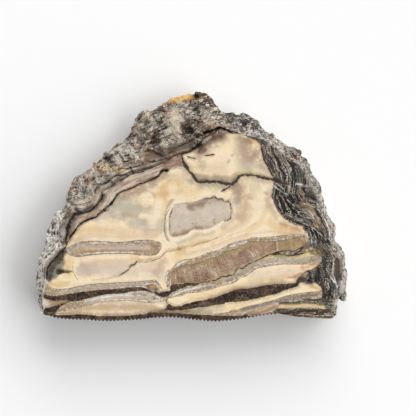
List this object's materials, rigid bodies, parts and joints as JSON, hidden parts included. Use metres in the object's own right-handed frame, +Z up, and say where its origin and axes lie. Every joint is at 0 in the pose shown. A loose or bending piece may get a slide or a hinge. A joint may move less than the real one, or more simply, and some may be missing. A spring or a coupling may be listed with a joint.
{
  "type": "mammoth tooth slice",
  "caption": "Polished slice of a fossil mammoth molar with rough bark round three sides and a fluted enamel edge, lying on its sawn underside.",
  "frame": {"origin": "middle of the slice's box, on the sawn underside", "axes": "+Z up from the sawn underside to the polished face; +X along the fluted edge, towards the end with the lump; +Y from the fluted edge to the crown of the bark"},
  "size_m": [0.1046, 0.0772, 0.018],
  "materials": {
    "fossil_tooth": "satin"
  },
  "bodies": {
    "root": {"tooth_slice": "fossil_tooth"}
  },
  "joints": []
}
